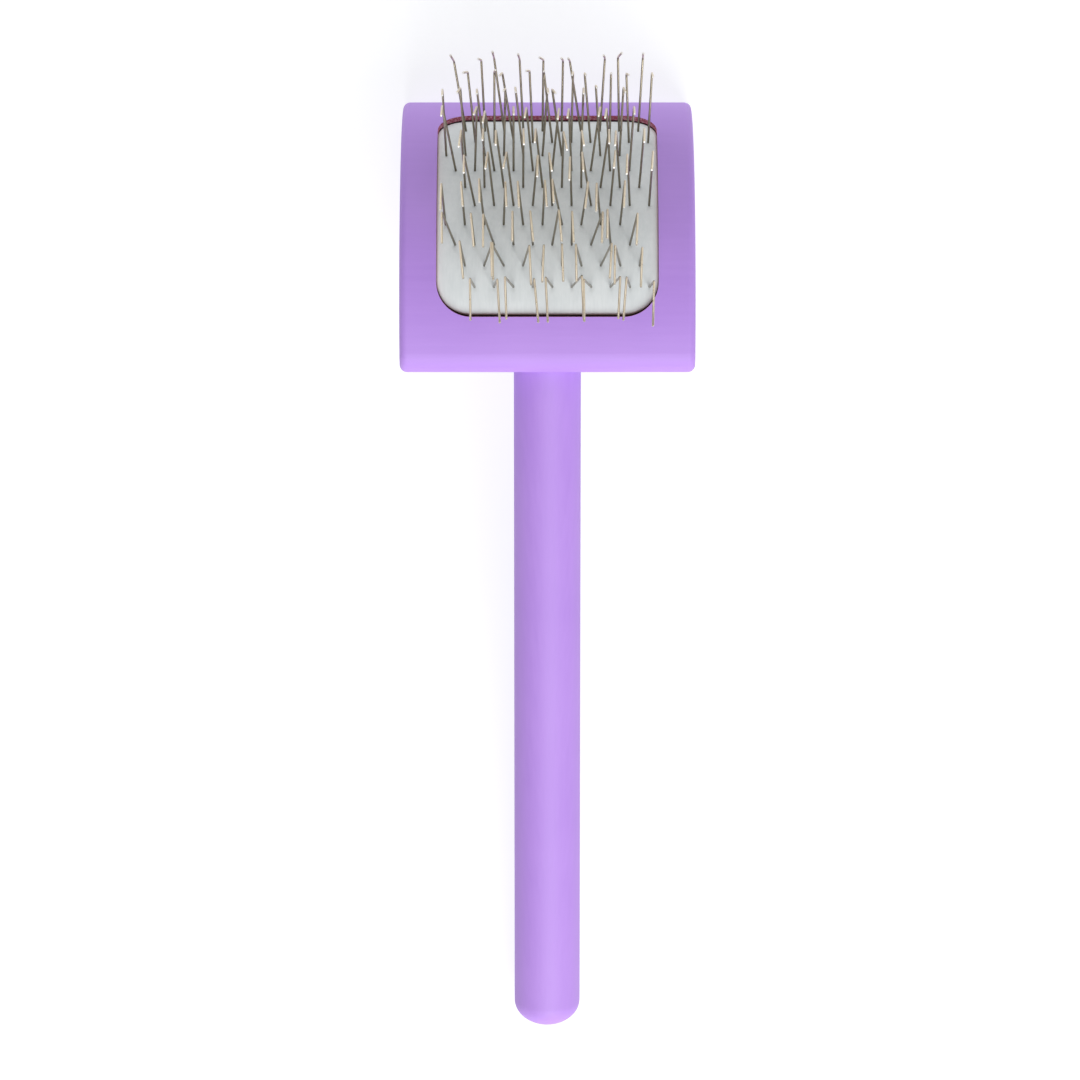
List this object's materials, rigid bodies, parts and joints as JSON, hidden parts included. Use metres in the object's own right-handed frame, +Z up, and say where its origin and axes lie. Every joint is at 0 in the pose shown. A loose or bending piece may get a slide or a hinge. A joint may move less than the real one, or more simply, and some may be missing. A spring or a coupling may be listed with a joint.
{
  "type": "slicker brush",
  "caption": "Long-pin slicker brush for pet grooming: curved wooden head with a recessed rubber-faced pad, kneed wire staples and a round straight handle.",
  "frame": {"origin": "on the ground, under the middle of the whole brush, with the brush lying on its back: the far edge of the head and the end of the handle touch the ground and the pins point up", "axes": "+X across the head, +Y from the handle's end towards the head, +Z up"},
  "size_m": [0.072, 0.2462, 0.0798],
  "materials": {
    "painted_wood": "satin lavender paint on beech",
    "grey_rubber": "matt light grey rubber sheet",
    "cotton_cloth": "woven cotton, cemented",
    "foam": "closed-cell foam rubber",
    "steel_wire": "drawn bright steel wire"
  },
  "bodies": {
    "brush": {"head_block": "painted_wood", "handle": "painted_wood", "foam_cushion": "foam", "cloth_ply_1": "cotton_cloth", "cloth_ply_2": "cotton_cloth", "rubber_face": "grey_rubber"},
    "row_01": {"staple_row_01": "steel_wire"},
    "row_02": {"staple_row_02": "steel_wire"},
    "row_03": {"staple_row_03": "steel_wire"},
    "row_04": {"staple_row_04": "steel_wire"},
    "row_05": {"staple_row_05": "steel_wire"},
    "row_06": {"staple_row_06": "steel_wire"},
    "row_07": {"staple_row_07": "steel_wire"},
    "row_08": {"staple_row_08": "steel_wire"},
    "row_09": {"staple_row_09": "steel_wire"},
    "row_10": {"staple_row_10": "steel_wire"}
  },
  "joints": [
    {"name": "flex_row_01", "type": "hinge", "parent": "brush", "child": "row_01", "pos_m": [0, 0.06685, 0.05139], "axis": [1, 0, 0], "range_deg": [-5, 5], "stiffness_Nm_per_rad": 0.02},
    {"name": "flex_row_02", "type": "hinge", "parent": "brush", "child": "row_02", "pos_m": [0, 0.07194, 0.05036], "axis": [1, 0, 0], "range_deg": [-5, 5], "stiffness_Nm_per_rad": 0.02},
    {"name": "flex_row_03", "type": "hinge", "parent": "brush", "child": "row_03", "pos_m": [0, 0.07689, 0.0488], "axis": [1, 0, 0], "range_deg": [-5, 5], "stiffness_Nm_per_rad": 0.02},
    {"name": "flex_row_04", "type": "hinge", "parent": "brush", "child": "row_04", "pos_m": [0, 0.08166, 0.04671], "axis": [1, 0, 0], "range_deg": [-5, 5], "stiffness_Nm_per_rad": 0.02},
    {"name": "flex_row_05", "type": "hinge", "parent": "brush", "child": "row_05", "pos_m": [0, 0.08617, 0.04414], "axis": [1, 0, 0], "range_deg": [-5, 5], "stiffness_Nm_per_rad": 0.02},
    {"name": "flex_row_06", "type": "hinge", "parent": "brush", "child": "row_06", "pos_m": [0, 0.09039, 0.0411], "axis": [1, 0, 0], "range_deg": [-5, 5], "stiffness_Nm_per_rad": 0.02},
    {"name": "flex_row_07", "type": "hinge", "parent": "brush", "child": "row_07", "pos_m": [0, 0.09426, 0.03763], "axis": [1, 0, 0], "range_deg": [-5, 5], "stiffness_Nm_per_rad": 0.02},
    {"name": "flex_row_08", "type": "hinge", "parent": "brush", "child": "row_08", "pos_m": [0, 0.09774, 0.03377], "axis": [1, 0, 0], "range_deg": [-5, 5], "stiffness_Nm_per_rad": 0.02},
    {"name": "flex_row_09", "type": "hinge", "parent": "brush", "child": "row_09", "pos_m": [0, 0.10079, 0.02957], "axis": [1, 0, 0], "range_deg": [-5, 5], "stiffness_Nm_per_rad": 0.02},
    {"name": "flex_row_10", "type": "hinge", "parent": "brush", "child": "row_10", "pos_m": [0, 0.10339, 0.02507], "axis": [1, 0, 0], "range_deg": [-5, 5], "stiffness_Nm_per_rad": 0.02}
  ]
}
